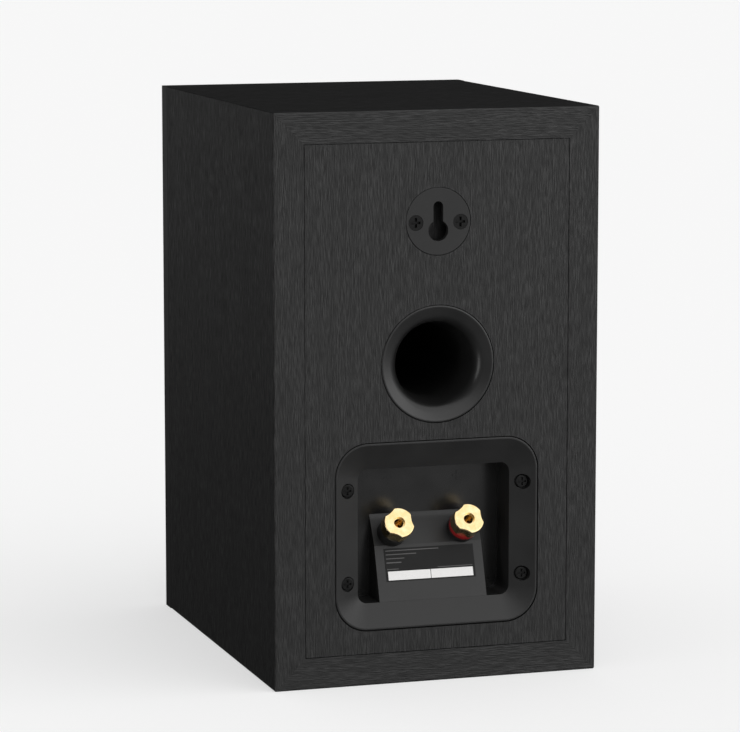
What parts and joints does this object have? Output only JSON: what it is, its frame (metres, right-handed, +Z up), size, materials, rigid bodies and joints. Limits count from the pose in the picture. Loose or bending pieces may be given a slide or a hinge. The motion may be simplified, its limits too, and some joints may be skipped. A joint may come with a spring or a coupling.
{
  "type": "bookshelf speaker",
  "caption": "Compact two-way bookshelf speaker with a rear reflex port, screw-down binding posts in a recessed cup and a keyhole hanger.",
  "frame": {"origin": "centre of the base, on the surface that the speaker stands on", "axes": "+Z up, -Y out of the front baffle, +Y out of the rear with the terminals, +X to the right seen from the front"},
  "size_m": [0.14, 0.18, 0.237],
  "materials": {
    "cabinet_wrap": "black ash-grain vinyl wrap on fibreboard, satin",
    "baffle_finish": "satin black film on fibreboard",
    "keyhole_plastic": "moulded black, matt",
    "socket_rubber": "black rubber",
    "port_plastic": "moulded black, satin",
    "cup_plastic": "moulded black, satin",
    "gasket_foam": "closed-cell foam",
    "black_screw": "black oxide",
    "label_stock": "black printed label with blank fields",
    "gold_plate": "bright gold plating",
    "red_plastic": "translucent dark red",
    "black_collar": "black moulding",
    "post_base_plastic": "black moulding",
    "plated_brass": "plated",
    "circuit_board": "phenolic paper board",
    "nylon": "natural nylon",
    "zinc_screw": "zinc plated",
    "bobbin_plastic": "black nylon",
    "copper_winding": "enamelled copper wire",
    "film_capacitor_sleeve": "yellow tape wrap",
    "electrolytic_sleeve": "blue shrink sleeve",
    "cement_resistor": "white cement body",
    "basket_paint": "black powder coat on cast alloy",
    "trim_rubber": "satin black",
    "surround_rubber": "butyl rubber",
    "cone_paper": "dark fibre-loaded paper",
    "dust_cap_paper": "dark fibre-loaded paper",
    "former_paper": "brown former",
    "spider_cloth": "doped cloth",
    "motor_steel": "zinc plated steel",
    "ferrite": "sintered ferrite",
    "strip_board": "phenolic strip with tags",
    "faceplate_plastic": "satin black moulding",
    "tweeter_cloth": "doped soft dome",
    "wire_black": "PVC insulation",
    "wire_grey": "PVC insulation",
    "wire_red": "PVC insulation",
    "wadding_fibre": "white polyester fibre"
  },
  "bodies": {
    "cabinet": {"binding_post_black": "gold_plate", "binding_post_red": "gold_plate", "bottom_panel": "cabinet_wrap", "ceramic_resistor": "cement_resistor", "crossover_board": "circuit_board", "crossover_screws": "zinc_screw", "crossover_standoffs": "nylon", "damping_wadding": "wadding_fibre", "electrolytic_capacitor": "electrolytic_sleeve", "film_capacitors": "film_capacitor_sleeve", "front_baffle": "baffle_finish", "grille_sockets": "socket_rubber", "inductor_bobbins": "bobbin_plastic", "inductor_windings": "copper_winding", "input_wires": "wire_red", "keyhole_plate": "keyhole_plastic", "keyhole_screws": "black_screw", "port_tube": "port_plastic", "post_base_black": "post_base_plastic", "post_base_red": "post_base_plastic", "post_hex_nuts": "plated_brass", "post_washers": "post_base_plastic", "rear_panel": "cabinet_wrap", "side_panel_left": "cabinet_wrap", "side_panel_right": "cabinet_wrap", "solder_tags": "plated_brass", "terminal_cup": "cup_plastic", "terminal_gasket": "gasket_foam", "terminal_label": "label_stock", "terminal_screws": "black_screw", "top_panel": "cabinet_wrap", "tweeter_faceplate": "faceplate_plastic", "tweeter_magnet": "ferrite", "tweeter_screws": "black_screw", "tweeter_surround": "tweeter_cloth", "tweeter_terminal_strip": "strip_board", "tweeter_top_plate": "motor_steel", "tweeter_wires": "wire_grey", "tweeter_yoke": "motor_steel", "woofer_basket": "basket_paint", "woofer_magnet": "ferrite", "woofer_screws": "black_screw", "woofer_spider": "spider_cloth", "woofer_surround": "surround_rubber", "woofer_terminal_strip": "strip_board", "woofer_top_plate": "motor_steel", "woofer_trim_ring": "trim_rubber", "woofer_wires": "wire_black", "woofer_yoke": "motor_steel"},
    "red_clamp": {"clamp_collar_red": "red_plastic"},
    "red_knob": {"clamp_nut_red": "gold_plate"},
    "black_clamp": {"clamp_collar_black": "black_collar"},
    "black_knob": {"clamp_nut_black": "gold_plate"},
    "woofer_motion": {"woofer_cone": "cone_paper", "woofer_dust_cap": "dust_cap_paper", "woofer_former": "former_paper", "woofer_voice_coil": "copper_winding"},
    "tweeter_motion": {"tweeter_dome": "tweeter_cloth", "tweeter_voice_coil": "copper_winding"}
  },
  "joints": [
    {"name": "red_clamp_slide", "type": "slide", "parent": "cabinet", "child": "red_clamp", "axis": [0, 0.8643, 0.503], "range_m": [0, 0.00375]},
    {"name": "red_nut_turn", "type": "hinge", "parent": "red_clamp", "child": "red_knob", "pos_m": [-0.0152, 0.08358, 0.06531], "axis": [0, 0.8643, 0.503], "range_deg": [0, 1800]},
    {"name": "black_clamp_slide", "type": "slide", "parent": "cabinet", "child": "black_clamp", "axis": [0, 0.8643, 0.503], "range_m": [0, 0.00375]},
    {"name": "black_nut_turn", "type": "hinge", "parent": "black_clamp", "child": "black_knob", "pos_m": [0.0152, 0.08358, 0.06531], "axis": [0, 0.8643, 0.503], "range_deg": [0, 1800]},
    {"name": "woofer_slide", "type": "slide", "parent": "cabinet", "child": "woofer_motion", "axis": [0, -1, 0], "range_m": [-0.004, 0.004], "stiffness_N_per_m": 900, "deforming": ["woofer_surround", "woofer_spider"]},
    {"name": "tweeter_slide", "type": "slide", "parent": "cabinet", "child": "tweeter_motion", "axis": [0, -1, 0], "range_m": [-0.0004, 0.0004], "stiffness_N_per_m": 9000, "deforming": ["tweeter_surround"]}
  ],
  "couplings": [
    {"joint": "red_nut_turn", "follows": "red_clamp_slide", "rad_per_m": 8377.6},
    {"joint": "black_nut_turn", "follows": "black_clamp_slide", "rad_per_m": 8377.6}
  ]
}
